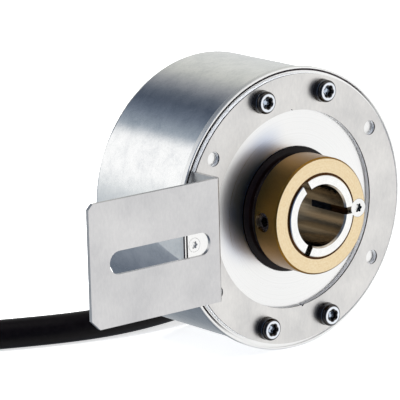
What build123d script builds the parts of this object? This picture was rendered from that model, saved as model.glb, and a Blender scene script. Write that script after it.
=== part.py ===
from build123d import *
from math import cos, degrees, radians, sin, tan
import os

# Incremental rotary encoder with a hollow shaft and a torque arm. Millimetres.
# The shaft axis is Y, the clamping side faces -Y, and +Z is up.
# The origin is on the shaft axis, in the mounting face of the front flange.

# Hollow shaft and its clamp
bore_d = 19.05
journal_wall = 2.975
hub_shoulder = 0.5
hub_front = 14.4
shoulder_y = 6.6
tail_step = 0.3
tail_start = 31.0
tail_end = 45.2
slit_count = 3
slit_width = 2.2
slit_depth = 16.0
collar_wall = 5.3
collar_front = 13.8
collar_length = 10.3
slide_gap = 0.05
set_screw_d = 6.0
set_screw_back = 7.6
set_screw_hex = 3.0
set_screw_length = 4.3
locating_offset = 2.2
locating_head_d = 5.8
locating_head_height = 1.8
locating_thread_d = 3.0
locating_thread_length = 6.0
locating_recess_d = 2.9
hub_edge = 0.5

# Front flange
flange_d = 88.9
rim_thickness = 1.8
opening_relief = 1.2
opening_depth = 2.2
web_thickness = 5.0
boss_wall = 5.0
boss_end = 25.0
spigot_end = 9.0
spigot_wall = 3.0
face_groove_inset = 0.65
face_groove_width = 0.6
face_groove_depth = 0.5
flat_inset = 1.85
rim_edge = 0.2

# Ball bearings
bearing_width = 7.0
bearing_section = 6.0
bearing_gap = 1.4
race_wall = 1.9
ball_d = 3.2
ball_count = 13
ball_gap = 0.3
lip_reach = 1.3
lip_width = 0.6
cage_wall = 1.0
cage_width = 4.0
ring_groove_depth = 0.9
ring_groove_width = 1.1
ring_reach = 1.3
ring_opening = 7.0

# Shaft seal
seal_wall = 0.5
seal_face = 3.0
seal_running_gap = 0.06
seal_lip_clear = 1.2

# Cover cup
cover_inset = 0.85
cover_wall = 0.9
cover_end = 43.9
cover_corner = 2.0
tail_clear = 1.8
fit_gap = 0.1
flat_runout = 15.0

# Torque arm, one piece of bent sheet
sheet = 1.2
ring_inset = 2.05
ring_width = 11.25
screw_inset = 6.7
screw_hole_d = 4.5
spare_hole_d = 4.6
screw_angles = (71.2, 108.8, 251.2, 288.8)
spare_angles = (33.6, 146.4, 213.6, 326.4)
nick_r = 0.45
nick_angles = (90.6, 274.6)
arm_front = 12.7
jog_inset = 3.1
arm_reach = 48.4
arm_width = 38.1
arm_centre_z = -0.9
slot_length = 37.8
slot_width = 7.1
slot_offset = 22.3
leg_gap_top = 5.5
leg_gap_bottom = -10.5
top_chamfer = 1.6
bottom_chamfer = 3.0
bend_inside = 0.4
leg_gap_width = 18.0
leg_gap_stop = 1.6

# Screws of the torque arm
screw_d = 4.0
screw_head_d = 7.0
screw_head_height = 2.6
screw_length = 5.6
washer_d = 7.4
washer_thickness = 0.6
screw_head_round = 0.4
recess_depth = 1.6
recess_d = 3.9

# Small screw in the flange face, seen through the slot
plug_screw_inset = 3.8
plug_screw_z = -4.7
plug_head_d = 4.4
plug_head_height = 1.4
plug_screw_d = 2.5
plug_recess_d = 2.4

# Code disc and its reading parts
disc_y = 28.2
disc_thickness = 1.0
disc_gap = 2.0
disc_seat = 4.0
disc_hub_start = 25.6
disc_register = 1.8
clamp_ring_thickness = 1.2
board_y = 33.0
board_thickness = 1.6
board_inset = 4.6
board_hole_clear = 2.5
post_inset = 4.5
post_d = 5.0
post_angles = (90.0, 210.0, 330.0)
cover_screw_d = 3.0
cover_screw_head_d = 5.6
cover_screw_head_height = 2.2
cover_screw_grip = 5.0
cover_recess_d = 2.8
post_thread_d = 3.0
post_stud_length = 4.0
reader_size = (12.0, 7.0)
lamp_size = (9.0, 5.6)
lamp_clear = 0.2
reader_gap = 0.8
terminal_clear = 1.5
terminal_size = (16.0, 6.0)
terminal_height = 5.5

# Cable outlet behind the cover, and the cable
cable_d = 9.4
outlet_inset = 21.6
outlet_width = 14.0
outlet_lift = 0.1
outlet_screw_clear = 0.95
outlet_depth = 13.0
outlet_centre_depth = 6.3
outlet_centre_lift = 6.2
outlet_edge = 1.5
near_screw_inset = (3.0, 5.5)
far_screw_inset = (3.8, 3.2)
wire_hole_inset = (2.5, 11.0)
wire_hole_d = 3.6
boot_length = 18.0
boot_root_d = 12.0
boot_tip_d = 10.6
coil_mean_d = 103.0
coil_turns_across = 2
coil_turns_high = 2
tail_start_angle = 245.0
tail_arc = 178.0
shield_length = 9.0
shield_d = 7.2
lead_count = 6
lead_d = 1.5
lead_length = 34.0
lead_circle_d = 4.4

# Sizes that follow from that of the bore
bearing_bore_d = bore_d + 2 * journal_wall
bearing_d = bearing_bore_d + 2 * bearing_section
hub_d = bearing_bore_d + 2 * hub_shoulder
tail_d = bearing_bore_d - 2 * tail_step
collar_d = hub_d + 2 * collar_wall
locating_r = hub_d / 2 + locating_offset
flange_opening_d = bearing_d + 2 * opening_relief
boss_d = bearing_d + 2 * boss_wall
lip_r = bearing_d / 2 - lip_reach
pitch_r = (bearing_d + bearing_bore_d) / 4
ring_groove_d = bearing_d + 2 * ring_groove_depth
seal_inner_d = bearing_d - 2 * seal_face
disc_hub_d = bearing_bore_d + 2 * disc_seat
disc_bore_d = bearing_bore_d + 2 * disc_register
board_hole_d = bearing_bore_d + 2 * board_hole_clear
cover_hole_d = tail_d + 2 * tail_clear
reader_r = boss_d / 2 + lamp_size[1] / 2 + lamp_clear
bearing_front_y = shoulder_y
bearing_rear_y = bearing_front_y + bearing_width + bearing_gap
ring_groove_y = bearing_rear_y + bearing_width

# Sizes that follow from that of the flange
floor_z = -flange_d / 2
flat_x = flange_d / 2 - flat_inset
cover_d = flange_d - 2 * cover_inset
spigot_d = cover_d - 2 * (cover_wall + fit_gap)
ring_outer_d = flange_d - 2 * ring_inset
ring_inner_d = ring_outer_d - 2 * ring_width
ring_pcd = flange_d - 2 * screw_inset
jog_x = jog_inset - ring_outer_d / 2
leg_x = jog_x + sheet
arm_tip_x = jog_x - arm_reach
arm_back = arm_front - sheet
slot_centre_x = jog_x - slot_offset
plug_screw_x = plug_screw_inset - flat_x
board_d = cover_d - 2 * board_inset
post_r = board_d / 2 - post_inset
disc_d = 2 * post_r - post_d - 2 * disc_gap
terminal_spot = (0, post_r - post_d / 2 - terminal_clear - terminal_size[1] / 2)
outlet_near_x = cover_d / 2 - outlet_inset
outlet_far_x = outlet_near_x + outlet_width
outlet_top_z = -post_r / 2 - cover_screw_head_d / 2 - outlet_screw_clear
outlet_bottom_z = floor_z + outlet_lift
outlet_centre_y = cover_end + outlet_centre_depth
outlet_centre_z = floor_z + outlet_centre_lift
outlet_screw_spots = [
    (outlet_near_x + near_screw_inset[0], outlet_top_z - near_screw_inset[1]),
    (outlet_far_x - far_screw_inset[0], outlet_top_z - far_screw_inset[1]),
]
wire_hole_spot = (outlet_near_x + wire_hole_inset[0], outlet_top_z - wire_hole_inset[1])
cable_z = floor_z + cable_d / 2

# Centre line of the cable from its outlet to the coil
cable_route = [
    (outlet_near_x, outlet_centre_y, outlet_centre_z),
    (2.0, outlet_centre_y, outlet_centre_z),
    (-18.5, 49.6, cable_z),
    (-41.0, 51.4, cable_z),
    (-68.0, 62.6, cable_z),
    (-94.0, 77.6, cable_z),
]
coil_entry = (-118.5, 98.2, cable_z)

outer_turn_d = coil_mean_d + (coil_turns_across - 1) * cable_d
cable_finish = (Vector(*coil_entry) - Vector(*cable_route[-1])).normalized()
coil_side = Vector(-cable_finish.Y, cable_finish.X, 0)
coil_centre = Vector(*coil_entry) + coil_side * (outer_turn_d / 2) - Vector(0, 0, cable_d / 2)
coil_top = coil_turns_high * cable_d

os.makedirs("parts", exist_ok=True)


def finish(node, name):
    """Names the finished piece and writes it."""
    node.part.label = name
    export_step(node.part, f"parts/{name}.step")


def polar(radius, angle):
    """A point in the X and Z directions, at an angle from +X towards +Z."""
    return radius * cos(radians(angle)), radius * sin(radians(angle))


def route_radii(points):
    """The largest bend radius that each corner's two runs allow."""
    vectors = [Vector(*point) for point in points]
    radii = []
    for before, corner, after in zip(vectors, vectors[1:], vectors[2:]):
        turn = (corner - before).get_angle(after - corner)
        shorter = min((corner - before).length, (after - corner).length)
        radii.append(0.45 * shorter / tan(radians(turn / 2)))
    return radii


def radial_plane(angle, forward):
    """A plane on the axis whose normal points outward at an angle from +X towards +Z."""
    normal = (cos(radians(angle)), 0, sin(radians(angle)))
    return Plane(origin=(0, -forward, 0), x_dir=(0, 1, 0), z_dir=normal)


def flat_plane(inside):
    """The slanting plane of the flat beside the torque arm, facing out of it."""
    mouth = Vector(-flat_x + inside, rim_thickness, 0)
    end = Vector(-cover_d / 2 + inside, rim_thickness + flat_runout, 0)
    along = (end - mouth).normalized()
    return Plane(origin=mouth, x_dir=(0, 0, 1), z_dir=(-along.Y, along.X, 0))


def coil_plane(angle):
    """An upright plane through the coil's axis, at an angle seen from above, with up as its Y."""
    outward = (cos(radians(angle)), sin(radians(angle)), 0)
    return Plane(origin=coil_centre, x_dir=outward, z_dir=(outward[1], -outward[0], 0))


def near(edge, x, y):
    """Whether an upright edge stands at a point of the plan."""
    centre = edge.center()
    return abs(centre.X - x) < 0.01 and abs(centre.Y - y) < 0.01


def lobed_recess(across):
    """A six-lobed driver recess, drawn in the open sketch."""
    Circle(across * 0.38)
    with PolarLocations(across * 0.36, 6):
        Circle(across * 0.14)


# Hollow shaft with the split hub
with BuildPart() as shaft:
    with BuildSketch(Plane.XY):
        with BuildLine():
            Polyline(
                (bore_d / 2, -hub_front),
                (hub_d / 2, -hub_front),
                (hub_d / 2, shoulder_y),
                (bearing_bore_d / 2, shoulder_y),
                (bearing_bore_d / 2, tail_start),
                (tail_d / 2, tail_start),
                (tail_d / 2, tail_end),
                (bore_d / 2, tail_end),
                close=True,
            )
        make_face()
    revolve(axis=Axis.Y)
    chamfer(shaft.faces().sort_by(Axis.Y)[0].edges(), length=hub_edge)
    with BuildSketch(Plane.XZ.offset(hub_front)):
        with PolarLocations(hub_d / 2, slit_count):
            Rectangle(hub_d, slit_width)
    extrude(amount=-slit_depth, mode=Mode.SUBTRACT)
    with BuildSketch(Plane.XZ.offset(hub_front)):
        with Locations((locating_r, 0)):
            Circle(locating_head_d / 2 + slide_gap)
    extrude(amount=collar_front - hub_front - locating_head_height, mode=Mode.SUBTRACT)
finish(shaft, "shaft")

# Clamping collar with three radial tapped holes and a countersunk face hole
with BuildPart() as collar:
    with BuildSketch(Plane.XZ.offset(collar_front)):
        Circle(collar_d / 2)
        Circle(hub_d / 2 + slide_gap, mode=Mode.SUBTRACT)
    extrude(amount=-collar_length)
    outer_edges = collar.edges().filter_by(GeomType.CIRCLE).group_by(SortBy.RADIUS)[-1]
    chamfer(outer_edges, length=0.5)
    for turn in range(slit_count):
        with BuildSketch(radial_plane(180 + 360 / slit_count * turn, set_screw_back)):
            Circle(set_screw_d / 2)
        extrude(amount=collar_d, mode=Mode.SUBTRACT)
    with BuildSketch(Plane.XZ.offset(collar_front)):
        with Locations((locating_r, 0)):
            Circle(locating_head_d / 2)
    extrude(amount=-locating_head_height, mode=Mode.SUBTRACT)
    with BuildSketch(Plane.XZ.offset(collar_front)):
        with Locations((locating_r, 0)):
            Circle(locating_thread_d / 2)
    extrude(amount=-locating_head_height - locating_thread_length, mode=Mode.SUBTRACT)
finish(collar, "collar")

# Set screws that press the hub's segments on the driven shaft
for turn in range(slit_count):
    side = radial_plane(180 + 360 / slit_count * turn, set_screw_back)
    with BuildPart() as set_screw:
        with BuildSketch(side.offset(hub_d / 2 + slide_gap)):
            Circle(set_screw_d / 2 - slide_gap)
        extrude(amount=set_screw_length)
        with BuildSketch(side.offset(hub_d / 2 + slide_gap + set_screw_length)):
            RegularPolygon(set_screw_hex / 2, 6, major_radius=False)
        extrude(amount=-set_screw_length / 2, mode=Mode.SUBTRACT)
    finish(set_screw, f"set_screw_{turn + 1}")

# Locating screw, half in the collar and over the hub's slit
with BuildPart() as locating_screw:
    with BuildSketch(Plane.XZ.offset(collar_front)):
        with Locations((locating_r, 0)):
            Circle(locating_head_d / 2 - slide_gap)
    extrude(amount=-locating_head_height)
    with BuildSketch(Plane.XZ.offset(collar_front - locating_head_height)):
        with Locations((locating_r, 0)):
            Circle(locating_thread_d / 2 - slide_gap)
    extrude(amount=-locating_thread_length)
    with BuildSketch(Plane.XZ.offset(collar_front)):
        with Locations((locating_r, 0)):
            lobed_recess(locating_recess_d)
    extrude(amount=-locating_head_height / 2, mode=Mode.SUBTRACT)
finish(locating_screw, "locating_screw")

# Front flange, turned, with the bearing boss behind it
with BuildPart() as flange:
    with BuildSketch(Plane.XY):
        with BuildLine():
            Polyline(
                (flange_opening_d / 2, 0),
                (flange_d / 2, 0),
                (flange_d / 2, rim_thickness),
                (spigot_d / 2, rim_thickness),
                (spigot_d / 2, spigot_end),
                (spigot_d / 2 - spigot_wall, spigot_end),
                (spigot_d / 2 - spigot_wall, web_thickness),
                (boss_d / 2, web_thickness),
                (boss_d / 2, boss_end),
                (bearing_d / 2, boss_end),
                (bearing_d / 2, bearing_front_y),
                (lip_r, bearing_front_y),
                (lip_r, bearing_front_y - lip_width),
                (bearing_d / 2, bearing_front_y - lip_width),
                (bearing_d / 2, opening_depth),
                (flange_opening_d / 2, opening_depth),
                close=True,
            )
        make_face()
        with BuildLine():
            Polyline(
                (bearing_d / 2, ring_groove_y),
                (ring_groove_d / 2, ring_groove_y),
                (ring_groove_d / 2, ring_groove_y + ring_groove_width),
                (bearing_d / 2, ring_groove_y + ring_groove_width),
                close=True,
            )
        make_face(mode=Mode.SUBTRACT)
    revolve(axis=Axis.Y)
    with BuildSketch(Plane.XZ):
        with Locations((-flat_x - flange_d / 2, 0)):
            Rectangle(flange_d, flange_d)
    extrude(amount=-rim_thickness, mode=Mode.SUBTRACT)
    chamfer(flange.faces().sort_by(Axis.Y)[0].outer_wire().edges(), length=rim_edge)
    with BuildSketch(Plane.XY):
        with BuildLine():
            Polyline(
                (cover_wall + fit_gap - flat_x, rim_thickness),
                (cover_wall + fit_gap - cover_d / 2, rim_thickness + flat_runout),
                (-flange_d, rim_thickness + flat_runout),
                (-flange_d, rim_thickness),
                close=True,
            )
        make_face()
    extrude(amount=flange_d / 2, both=True, mode=Mode.SUBTRACT)
    with BuildSketch(Plane.XZ):
        Circle(flange_d / 2 - face_groove_inset)
        with Locations((face_groove_inset - flat_x - flange_d / 2, 0)):
            Rectangle(flange_d, flange_d, mode=Mode.SUBTRACT)
        offset(amount=-face_groove_width, kind=Kind.INTERSECTION, mode=Mode.SUBTRACT)
    extrude(amount=-face_groove_depth, mode=Mode.SUBTRACT)
    with BuildSketch(Plane.XZ):
        with Locations(*[polar(ring_pcd / 2, angle) for angle in screw_angles]):
            Circle(screw_d / 2)
        with Locations(*[polar(post_r, angle) for angle in post_angles]):
            Circle(post_thread_d / 2)
        with Locations((plug_screw_x, plug_screw_z)):
            Circle(plug_screw_d / 2)
    extrude(amount=-web_thickness, mode=Mode.SUBTRACT)
    with BuildSketch(Plane.XZ):
        with Locations((plug_screw_x, plug_screw_z)):
            Circle(plug_head_d / 2)
    extrude(amount=-plug_head_height, mode=Mode.SUBTRACT)
finish(flange, "flange")

# Small flat head screw in the flange face
with BuildPart() as plug_screw:
    with BuildSketch(Plane.XZ):
        with Locations((plug_screw_x, plug_screw_z)):
            Circle(plug_head_d / 2 - slide_gap)
    extrude(amount=-plug_head_height)
    with BuildSketch(Plane.XZ.offset(-plug_head_height)):
        with Locations((plug_screw_x, plug_screw_z)):
            Circle(plug_screw_d / 2 - slide_gap)
    extrude(amount=plug_head_height - web_thickness)
    with BuildSketch(Plane.XZ):
        with Locations((plug_screw_x, plug_screw_z)):
            lobed_recess(plug_recess_d)
    extrude(amount=-plug_head_height / 2, mode=Mode.SUBTRACT)
finish(plug_screw, "plug_screw")

# Shaft seal: a metal case and the rubber lip inside it
with BuildPart() as seal_case:
    with BuildSketch(Plane.XY):
        with BuildLine():
            Polyline(
                (seal_inner_d / 2, opening_depth),
                (bearing_d / 2, opening_depth),
                (bearing_d / 2, bearing_front_y - lip_width),
                (bearing_d / 2 - seal_wall, bearing_front_y - lip_width),
                (bearing_d / 2 - seal_wall, opening_depth + seal_wall),
                (seal_inner_d / 2, opening_depth + seal_wall),
                close=True,
            )
        make_face()
    revolve(axis=Axis.Y)
finish(seal_case, "seal_case")

with BuildPart() as seal_lip:
    with BuildSketch(Plane.XY):
        with BuildLine():
            Polyline(
                (hub_d / 2 + seal_running_gap, opening_depth + seal_wall),
                (bearing_d / 2 - seal_wall, opening_depth + seal_wall),
                (bearing_d / 2 - seal_wall, bearing_front_y - lip_width),
                (hub_d / 2 + seal_lip_clear, bearing_front_y - lip_width),
                (hub_d / 2 + seal_lip_clear, opening_depth + 2 * seal_wall),
                close=True,
            )
        make_face()
    revolve(axis=Axis.Y)
finish(seal_lip, "seal_lip")

# Two deep groove ball bearings, each an outer race, an inner race and a cage with its balls
for name, start in (("front", bearing_front_y), ("rear", bearing_rear_y)):
    middle = start + bearing_width / 2
    with BuildPart() as outer_race:
        with BuildSketch(Plane.XY):
            with Locations((bearing_d / 2 - race_wall / 2, middle)):
                Rectangle(race_wall, bearing_width)
            with Locations((pitch_r, middle)):
                Circle(ball_d / 2 + ball_gap, mode=Mode.SUBTRACT)
        revolve(axis=Axis.Y)
    finish(outer_race, f"bearing_{name}_outer")
    with BuildPart() as inner_race:
        with BuildSketch(Plane.XY):
            with Locations((bearing_bore_d / 2 + race_wall / 2, middle)):
                Rectangle(race_wall, bearing_width)
            with Locations((pitch_r, middle)):
                Circle(ball_d / 2 + ball_gap, mode=Mode.SUBTRACT)
        revolve(axis=Axis.Y)
    finish(inner_race, f"bearing_{name}_inner")
    with BuildPart() as ball_cage:
        with BuildSketch(Plane.XY):
            with Locations((pitch_r, middle)):
                Rectangle(cage_wall, cage_width)
        revolve(axis=Axis.Y)
        for ball in range(ball_count):
            x, z = polar(pitch_r, 360 / ball_count * ball)
            with Locations((x, middle, z)):
                Sphere(ball_d / 2, rotation=(90, 0, 0))
    finish(ball_cage, f"bearing_{name}_cage")

# Sleeve that parts the outer races
with BuildPart() as race_sleeve:
    with BuildSketch(Plane.XZ.offset(-bearing_front_y - bearing_width)):
        Circle(bearing_d / 2)
        Circle(bearing_d / 2 - race_wall, mode=Mode.SUBTRACT)
    extrude(amount=-bearing_gap)
finish(race_sleeve, "race_sleeve")

# Inner sleeve between the inner races
with BuildPart() as shaft_sleeve:
    with BuildSketch(Plane.XZ.offset(-bearing_front_y - bearing_width)):
        Circle(bearing_bore_d / 2 + race_wall)
        Circle(bearing_bore_d / 2, mode=Mode.SUBTRACT)
    extrude(amount=-bearing_gap)
finish(shaft_sleeve, "shaft_sleeve")

# Retaining ring with an open side, behind the rear bearing
with BuildPart() as retaining_ring:
    with BuildSketch(Plane.XZ.offset(-ring_groove_y)):
        Circle(ring_groove_d / 2)
        Circle(bearing_d / 2 - ring_reach, mode=Mode.SUBTRACT)
        with Locations((0, bearing_d / 2)):
            Rectangle(ring_opening, ring_opening, mode=Mode.SUBTRACT)
    extrude(amount=-ring_groove_width)
finish(retaining_ring, "retaining_ring")

# Torque arm: a flat ring, two legs bent forward and the slotted plate they carry
with BuildPart() as torque_arm:
    with BuildSketch(Plane.XZ):
        Circle(ring_outer_d / 2)
        with Locations((jog_x - ring_outer_d / 2, arm_centre_z)):
            Rectangle(ring_outer_d, arm_width + 2 * sheet, mode=Mode.SUBTRACT)
        with Locations((jog_x / 2 + sheet / 2, arm_centre_z)):
            Rectangle(-jog_x - sheet, arm_width)
        Circle(ring_inner_d / 2, mode=Mode.SUBTRACT)
    extrude(amount=sheet)
    with BuildSketch(Plane.XY.offset(arm_centre_z - arm_width / 2)):
        with Locations((leg_x - sheet / 2, -arm_front / 2)):
            Rectangle(sheet, arm_front)
        with Locations(((leg_x + arm_tip_x) / 2, -arm_front + sheet / 2)):
            Rectangle(leg_x - arm_tip_x, sheet)
    extrude(amount=arm_width)
    upright = torque_arm.edges().filter_by(Axis.Z)
    outer_bends = [
        edge
        for edge in upright
        if near(edge, leg_x, -arm_front) or near(edge, jog_x, 0)
    ]
    fillet(outer_bends, radius=bend_inside + sheet)
    inner_bends = [
        edge
        for edge in torque_arm.edges().filter_by(Axis.Z)
        if near(edge, jog_x, -arm_back) or near(edge, leg_x, -sheet)
    ]
    fillet(inner_bends, radius=bend_inside)
    with BuildSketch(Plane.XZ):
        with Locations((jog_x, (leg_gap_top + leg_gap_bottom) / 2)):
            Rectangle(leg_gap_width, leg_gap_top - leg_gap_bottom)
    extrude(amount=arm_back - leg_gap_stop, mode=Mode.SUBTRACT)
    with BuildSketch(Plane.XZ):
        with Locations(*[polar(ring_pcd / 2, angle) for angle in screw_angles]):
            Circle(screw_hole_d / 2)
        with Locations(*[polar(ring_pcd / 2, angle) for angle in spare_angles]):
            Circle(spare_hole_d / 2)
        with Locations(*[polar(ring_inner_d / 2, angle) for angle in nick_angles]):
            Circle(nick_r)
    extrude(amount=sheet, mode=Mode.SUBTRACT)
    with BuildSketch(Plane.XZ.offset(arm_front)):
        with Locations((slot_centre_x, arm_centre_z)):
            SlotOverall(slot_length, slot_width)
    extrude(amount=-sheet, mode=Mode.SUBTRACT)
    tips = torque_arm.edges().filter_by(Axis.Y).group_by(Axis.X)[0].sort_by(Axis.Z)
    chamfer(tips[-1], length=top_chamfer)
    tips = torque_arm.edges().filter_by(Axis.Y).group_by(Axis.X)[0].sort_by(Axis.Z)
    chamfer(tips[0], length=bottom_chamfer)
finish(torque_arm, "torque_arm")

# Four screws with lock washers that hold the torque arm
for number, angle in enumerate(screw_angles, 1):
    spot = polar(ring_pcd / 2, angle)
    with BuildPart() as washer:
        with BuildSketch(Plane.XZ.offset(sheet)):
            with Locations(spot):
                Circle(washer_d / 2)
                Circle(screw_d / 2 + slide_gap, mode=Mode.SUBTRACT)
        extrude(amount=washer_thickness)
    finish(washer, f"lock_washer_{number}")
    with BuildPart() as screw:
        with BuildSketch(Plane.XZ.offset(sheet + washer_thickness)):
            with Locations(spot):
                Circle(screw_head_d / 2)
        extrude(amount=screw_head_height)
        rim = screw.faces().sort_by(Axis.Y)[0].edges()
        fillet(rim, radius=screw_head_round)
        with BuildSketch(Plane.XZ.offset(sheet + washer_thickness)):
            with Locations(spot):
                Circle(screw_d / 2 - slide_gap)
        extrude(amount=-screw_length)
        with BuildSketch(Plane.XZ.offset(sheet + washer_thickness + screw_head_height)):
            with Locations(spot):
                lobed_recess(recess_d)
        extrude(amount=-recess_depth, mode=Mode.SUBTRACT)
    finish(screw, f"arm_screw_{number}")

# Code disc on its hub, held by a clamp ring
with BuildPart() as disc_hub:
    with BuildSketch(Plane.XZ.offset(-disc_hub_start)):
        Circle(disc_hub_d / 2)
        Circle(bearing_bore_d / 2 + slide_gap, mode=Mode.SUBTRACT)
    extrude(amount=disc_hub_start - disc_y)
    with BuildSketch(Plane.XZ.offset(-disc_y)):
        Circle(disc_bore_d / 2)
        Circle(bearing_bore_d / 2 + slide_gap, mode=Mode.SUBTRACT)
    extrude(amount=-disc_thickness - clamp_ring_thickness)
finish(disc_hub, "disc_hub")

with BuildPart() as code_disc:
    with BuildSketch(Plane.XZ.offset(-disc_y)):
        Circle(disc_d / 2)
        Circle(disc_bore_d / 2 + slide_gap, mode=Mode.SUBTRACT)
    extrude(amount=-disc_thickness)
finish(code_disc, "code_disc")

with BuildPart() as clamp_ring:
    with BuildSketch(Plane.XZ.offset(-disc_y - disc_thickness)):
        Circle(disc_hub_d / 2)
        Circle(disc_bore_d / 2 + slide_gap, mode=Mode.SUBTRACT)
    extrude(amount=-clamp_ring_thickness)
finish(clamp_ring, "clamp_ring")

# Lamp holder in front of the disc and reading head behind it
with BuildPart() as lamp_block:
    with BuildSketch(Plane.XZ.offset(-web_thickness)):
        with Locations((0, -reader_r)):
            Rectangle(*lamp_size)
    extrude(amount=web_thickness - disc_y + reader_gap)
finish(lamp_block, "lamp_block")

with BuildPart() as reading_head:
    with BuildSketch(Plane.XZ.offset(-disc_y - disc_thickness - reader_gap)):
        with Locations((0, -reader_r)):
            Rectangle(*reader_size)
    extrude(amount=disc_y + disc_thickness + reader_gap - board_y)
finish(reading_head, "reading_head")

# Circuit board on three posts, with the posts of the cover behind it
with BuildPart() as circuit_board:
    with BuildSketch(Plane.XZ.offset(-board_y)):
        Circle(board_d / 2)
        Circle(board_hole_d / 2, mode=Mode.SUBTRACT)
        with Locations(*[polar(post_r, angle) for angle in post_angles]):
            Circle(post_thread_d / 2, mode=Mode.SUBTRACT)
    extrude(amount=-board_thickness)
finish(circuit_board, "circuit_board")

with BuildPart() as terminal_block:
    with BuildSketch(Plane.XZ.offset(-board_y - board_thickness)):
        with Locations(terminal_spot):
            Rectangle(*terminal_size)
    extrude(amount=-terminal_height)
finish(terminal_block, "terminal_block")

for number, angle in enumerate(post_angles, 1):
    spot = polar(post_r, angle)
    with BuildPart() as board_post:
        with BuildSketch(Plane.XZ.offset(-web_thickness)):
            with Locations(spot):
                RegularPolygon(post_d / 2, 6, major_radius=False)
        extrude(amount=web_thickness - board_y)
        with BuildSketch(Plane.XZ.offset(-web_thickness)):
            with Locations(spot):
                Circle(post_thread_d / 2 - slide_gap)
        extrude(amount=post_stud_length)
    finish(board_post, f"board_post_{number}")
    with BuildPart() as cover_post:
        with BuildSketch(Plane.XZ.offset(-board_y - board_thickness)):
            with Locations(spot):
                RegularPolygon(post_d / 2, 6, major_radius=False)
        extrude(amount=board_y + board_thickness - cover_end + cover_wall)
        with BuildSketch(Plane.XZ.offset(-cover_end + cover_wall)):
            with Locations(spot):
                Circle(cover_screw_d / 2)
        extrude(amount=cover_screw_grip, mode=Mode.SUBTRACT)
        with BuildSketch(Plane.XZ.offset(-board_y - board_thickness)):
            with Locations(spot):
                Circle(post_thread_d / 2 - slide_gap)
        extrude(amount=board_thickness)
    finish(cover_post, f"cover_post_{number}")
    with BuildPart() as cover_screw:
        with BuildSketch(Plane.XZ.offset(-cover_end)):
            with Locations(spot):
                Circle(cover_screw_head_d / 2)
        extrude(amount=-cover_screw_head_height)
        rim = cover_screw.faces().sort_by(Axis.Y)[-1].edges()
        fillet(rim, radius=screw_head_round)
        with BuildSketch(Plane.XZ.offset(-cover_end)):
            with Locations(spot):
                Circle(cover_screw_d / 2 - slide_gap)
        extrude(amount=cover_wall + cover_screw_grip - slide_gap)
        with BuildSketch(Plane.XZ.offset(-cover_end - cover_screw_head_height)):
            with Locations(spot):
                lobed_recess(cover_recess_d)
        extrude(amount=cover_screw_head_height / 2, mode=Mode.SUBTRACT)
    finish(cover_screw, f"cover_screw_{number}")

# Inside of the cover cup
with BuildPart() as cover_hollow:
    with BuildSketch(Plane.XZ.offset(-rim_thickness)):
        Circle(cover_d / 2 - cover_wall)
    extrude(amount=rim_thickness - cover_end + cover_wall)
    fillet(cover_hollow.faces().sort_by(Axis.Y)[-1].edges(), radius=cover_corner - cover_wall)
    split(bisect_by=flat_plane(cover_wall), keep=Keep.BOTTOM)

# Cover cup with a flat pressed into its mouth beside the torque arm
with BuildPart() as cover:
    with BuildSketch(Plane.XZ.offset(-rim_thickness)):
        Circle(cover_d / 2)
    extrude(amount=rim_thickness - cover_end)
    fillet(cover.faces().sort_by(Axis.Y)[-1].edges(), radius=cover_corner)
    split(bisect_by=flat_plane(0), keep=Keep.BOTTOM)
    add(cover_hollow.part, mode=Mode.SUBTRACT)
    with BuildSketch(Plane.XZ.offset(-cover_end)):
        Circle(cover_hole_d / 2)
        with Locations(*[polar(post_r, angle) for angle in post_angles]):
            Circle(cover_screw_d / 2)
        with Locations(wire_hole_spot):
            Circle(wire_hole_d / 2)
        with Locations(*outlet_screw_spots):
            Circle(cover_screw_d / 2)
    extrude(amount=cover_wall, mode=Mode.SUBTRACT)
finish(cover, "cover")

# Right-angle cable outlet on the back of the cover
with BuildPart() as outlet:
    with BuildSketch(Plane.XZ.offset(-cover_end)):
        with Locations(((outlet_near_x + outlet_far_x) / 2, (outlet_top_z + outlet_bottom_z) / 2)):
            Rectangle(outlet_far_x - outlet_near_x, outlet_top_z - outlet_bottom_z)
    extrude(amount=-outlet_depth)
    fillet(outlet.edges().filter_by(Axis.Y), radius=outlet_edge)
    fillet(outlet.faces().sort_by(Axis.Y)[-1].edges(), radius=outlet_edge)
    with BuildSketch(Plane.XZ.offset(-cover_end - outlet_depth)):
        with Locations(*outlet_screw_spots):
            Circle(cover_screw_d / 2)
    extrude(amount=outlet_depth, mode=Mode.SUBTRACT)
finish(outlet, "outlet")

for number, spot in enumerate(outlet_screw_spots, 1):
    with BuildPart() as outlet_screw:
        with BuildSketch(Plane.XZ.offset(-cover_end - outlet_depth)):
            with Locations(spot):
                Circle(cover_screw_head_d / 2)
        extrude(amount=-cover_screw_head_height)
        rim = outlet_screw.faces().sort_by(Axis.Y)[-1].edges()
        fillet(rim, radius=screw_head_round)
        with BuildSketch(Plane.XZ.offset(-cover_end - outlet_depth)):
            with Locations(spot):
                Circle(cover_screw_d / 2 - slide_gap)
        extrude(amount=outlet_depth + cover_wall)
        with BuildSketch(Plane.XZ.offset(-cover_end - outlet_depth - cover_screw_head_height)):
            with Locations(spot):
                lobed_recess(cover_recess_d)
        extrude(amount=cover_screw_head_height / 2, mode=Mode.SUBTRACT)
    finish(outlet_screw, f"outlet_screw_{number}")

# Cable along its straight runs and the arcs that join them
with BuildPart() as cable:
    with BuildLine():
        centre_line = FilletPolyline(*cable_route, radius=route_radii(cable_route))
    print("bend radii", [round(radius) for radius in route_radii(cable_route)])
    print("cable length", round(centre_line.length, 1))
    with BuildSketch(Plane(origin=centre_line @ 0, z_dir=centre_line % 0)):
        Circle(cable_d / 2)
    sweep()
finish(cable, "cable")

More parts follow.
